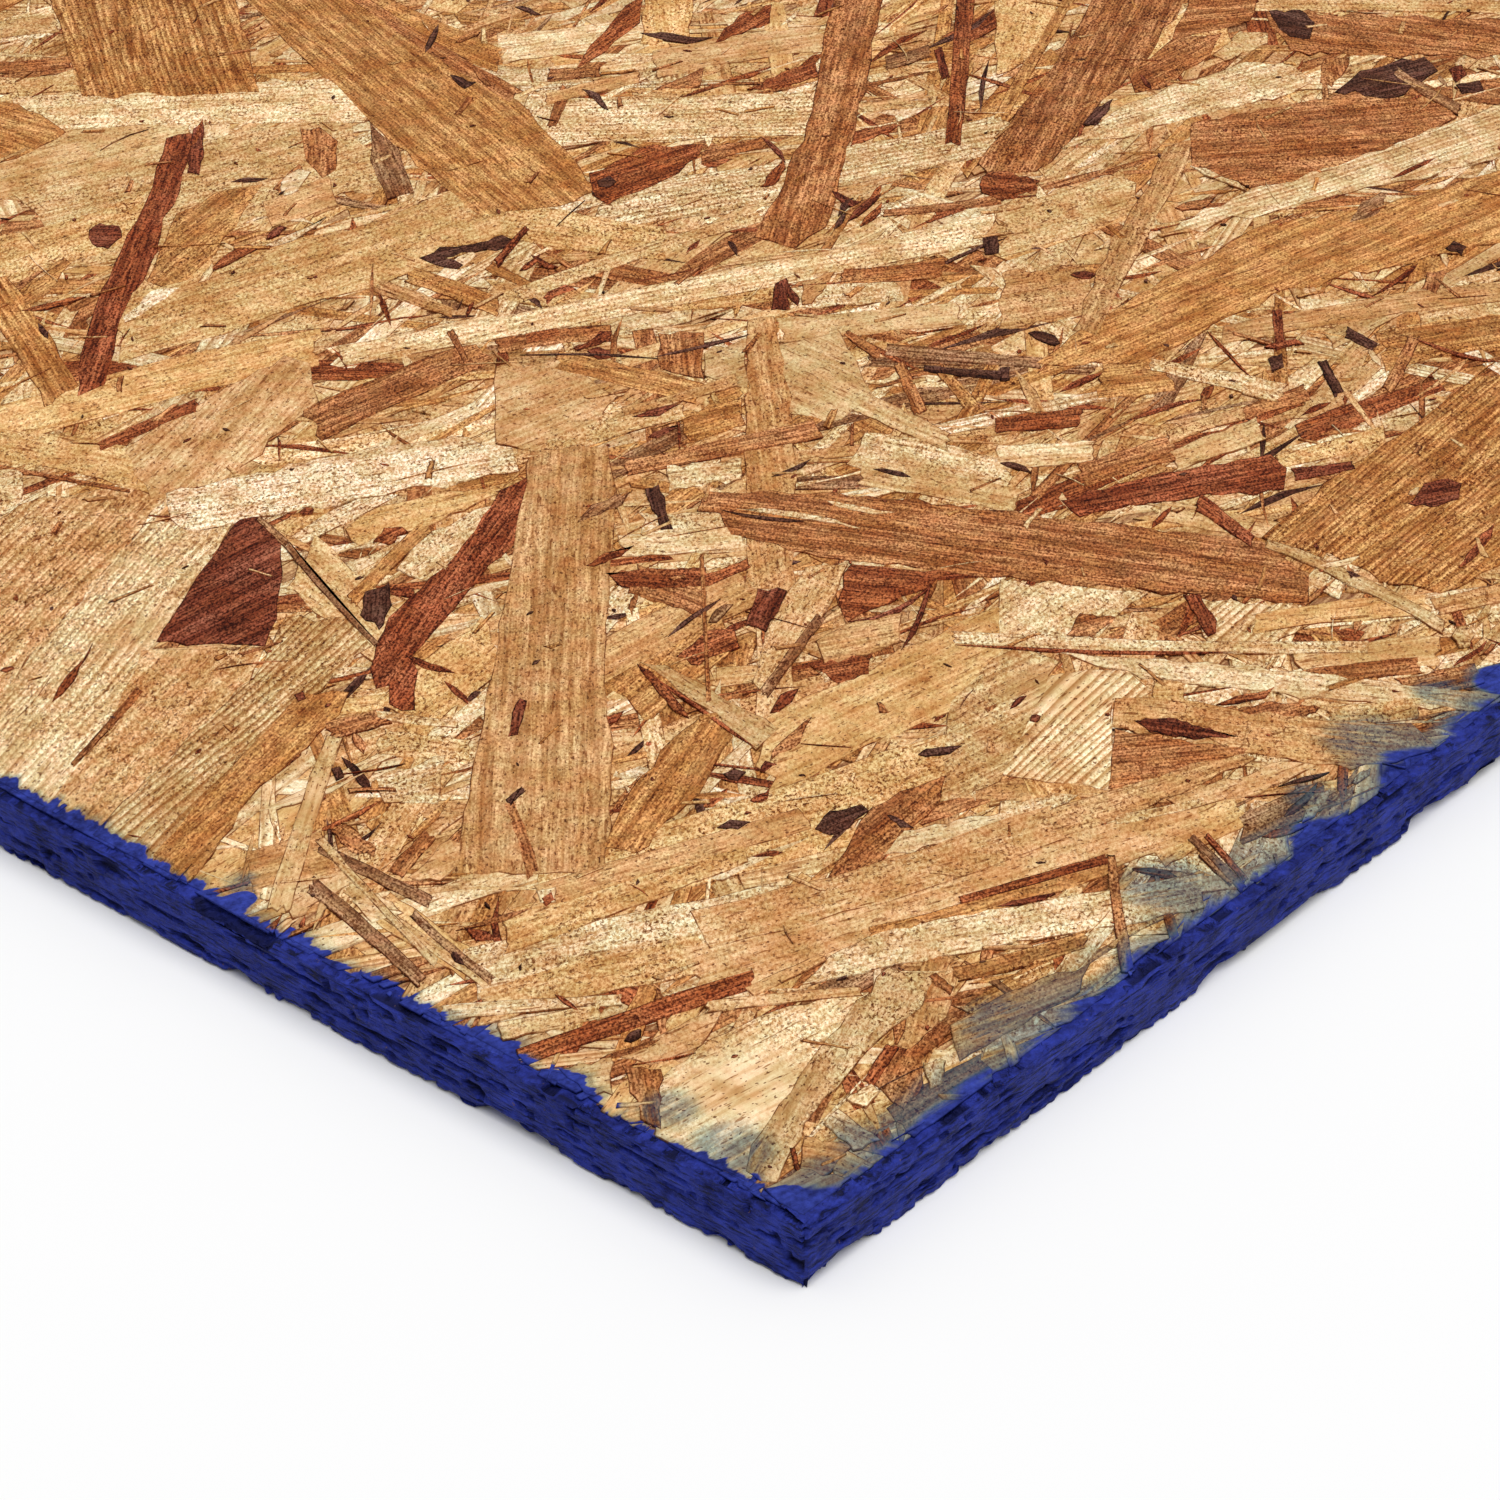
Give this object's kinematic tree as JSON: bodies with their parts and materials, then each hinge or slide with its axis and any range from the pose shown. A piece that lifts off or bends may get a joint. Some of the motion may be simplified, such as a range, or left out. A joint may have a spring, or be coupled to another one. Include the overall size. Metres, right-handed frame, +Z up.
{
  "type": "oriented strand board sheet",
  "caption": "Flat rectangular sheet of pressed wood strands with sawn, sealed edges, used to sheath floors, walls and roofs.",
  "frame": {"origin": "centre of the underside, on the floor that the sheet lies on", "axes": "+X along the length, the way most face strands run; +Y across the width; +Z up out of the upper face"},
  "size_m": [2.44, 1.22, 0.011],
  "materials": {
    "osb": "pressed wood strands with wax and resin, matt; the sawn edges and a ragged strip along them carry a blue sealer"
  },
  "bodies": {
    "root": {"osb_panel": "osb"}
  },
  "joints": []
}
